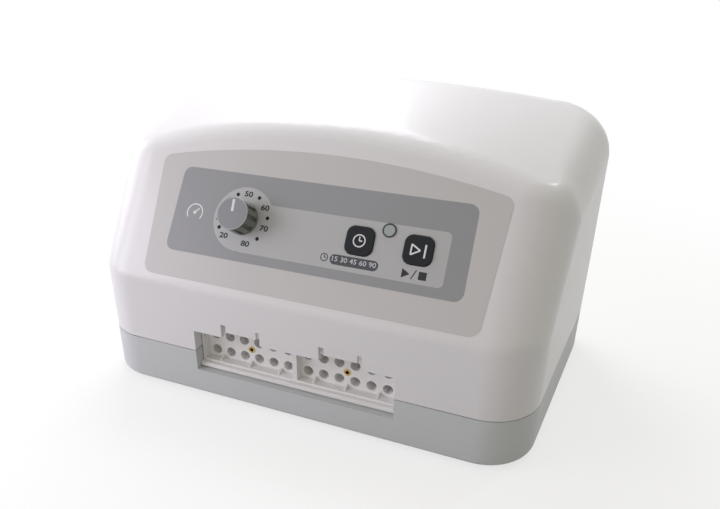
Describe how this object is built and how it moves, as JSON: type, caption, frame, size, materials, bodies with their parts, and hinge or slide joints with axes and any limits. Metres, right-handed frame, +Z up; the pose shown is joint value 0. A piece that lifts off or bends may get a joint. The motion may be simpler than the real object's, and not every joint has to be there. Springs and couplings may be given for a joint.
{
  "type": "compression therapy pump",
  "caption": "Table-top air pump for compression therapy: white housing, leaning control panel with knob and keys, grey base, two multi-port connector bays.",
  "frame": {"origin": "on the table, below the middle of the housing's box", "axes": "+X to the right as the user faces the control panel, -Y towards the user, +Z up"},
  "size_m": [0.3142, 0.18, 0.1833],
  "materials": {
    "shell_white": "fine moulded texture, near white",
    "base_grey": "fine moulded texture, light grey",
    "rubber_black": "matt",
    "zinc_steel": "zinc plated",
    "overlay_film": "printed film, satin",
    "knob_dark": "satin",
    "knob_cap_grey": "satin",
    "pointer_white": "printed white",
    "bright_aluminium": "turned",
    "key_black": "semi-gloss",
    "switch_plastic": "moulded",
    "indicator_lens": "frosted lens",
    "timer_window": "smoked",
    "lamp_resin": "clear resin",
    "circuit_board": "solder mask",
    "component_black": "moulded",
    "port_white": "moulded, off-white",
    "brass": "turned",
    "manifold_plastic": "moulded",
    "valve_plastic": "machined acetal",
    "motor_can": "drawn can",
    "cast_aluminium": "die-cast",
    "hose_silicone": "translucent silicone",
    "core_steel": "varnished laminations",
    "winding_tape": "polyester tape",
    "nickel_pins": "nickel plated",
    "rocker_black": "semi-gloss"
  },
  "bodies": {
    "housing": {"upper_housing": "shell_white", "base_housing": "base_grey", "rubber_feet": "rubber_black", "case_screws": "zinc_steel", "control_overlay": "overlay_film", "pressure_regulator": "bright_aluminium", "regulator_nut": "zinc_steel", "tact_switches": "switch_plastic", "run_indicator": "indicator_lens", "timer_strip": "timer_window", "panel_lamps": "lamp_resin", "control_board": "circuit_board", "board_screws": "zinc_steel", "board_components": "component_black", "port_block": "port_white", "port_inserts": "brass", "keying_tabs": "port_white", "air_manifold": "manifold_plastic", "valve_gearmotor": "motor_can", "valve_bracket": "manifold_plastic", "pump_body": "cast_aluminium", "pump_heads": "component_black", "pump_mounts": "rubber_black", "supply_hose": "hose_silicone", "regulator_hose": "hose_silicone", "transformer_core": "core_steel", "transformer_winding": "winding_tape", "transformer_bracket": "zinc_steel", "mains_inlet": "component_black", "inlet_pins": "nickel_pins", "inlet_screws": "zinc_steel", "switch_bezel": "component_black"},
    "knob": {"pressure_knob": "knob_dark", "knob_cap": "knob_cap_grey", "knob_pointer": "pointer_white", "regulator_stem": "bright_aluminium"},
    "time_button": {"time_key": "key_black", "time_plunger": "switch_plastic"},
    "start_button": {"start_key": "key_black", "start_plunger": "switch_plastic"},
    "rocker": {"power_rocker": "rocker_black"},
    "rotor": {"valve_rotor": "valve_plastic"},
    "armature": {"pump_armature": "motor_can"}
  },
  "joints": [
    {"name": "knob_turn", "type": "hinge", "parent": "housing", "child": "knob", "pos_m": [-0.04005, -0.06482, 0.11559], "axis": [0, -0.8348, 0.5505], "range_deg": [-165, 135]},
    {"name": "time_key_press", "type": "slide", "parent": "housing", "child": "time_button", "axis": [0, 0.8348, -0.5505], "range_m": [0, 0.001], "stiffness_N_per_m": 1500, "springref_m": -0.0003},
    {"name": "start_key_press", "type": "slide", "parent": "housing", "child": "start_button", "axis": [0, 0.8348, -0.5505], "range_m": [0, 0.001], "stiffness_N_per_m": 1500, "springref_m": -0.0003},
    {"name": "power_rocker_tilt", "type": "hinge", "parent": "housing", "child": "rocker", "pos_m": [0.047, 0.0815, 0.062], "axis": [1, 0, 0], "range_deg": [-18, 0]},
    {"name": "valve_rotor_spin", "type": "hinge", "parent": "housing", "child": "rotor", "pos_m": [0, -0.0527, 0.04], "axis": [0, 1, 0], "continuous": true},
    {"name": "armature_slide", "type": "slide", "parent": "housing", "child": "armature", "axis": [1, 0, 0], "range_m": [-0.0015, 0.0015], "stiffness_N_per_m": 8000}
  ]
}
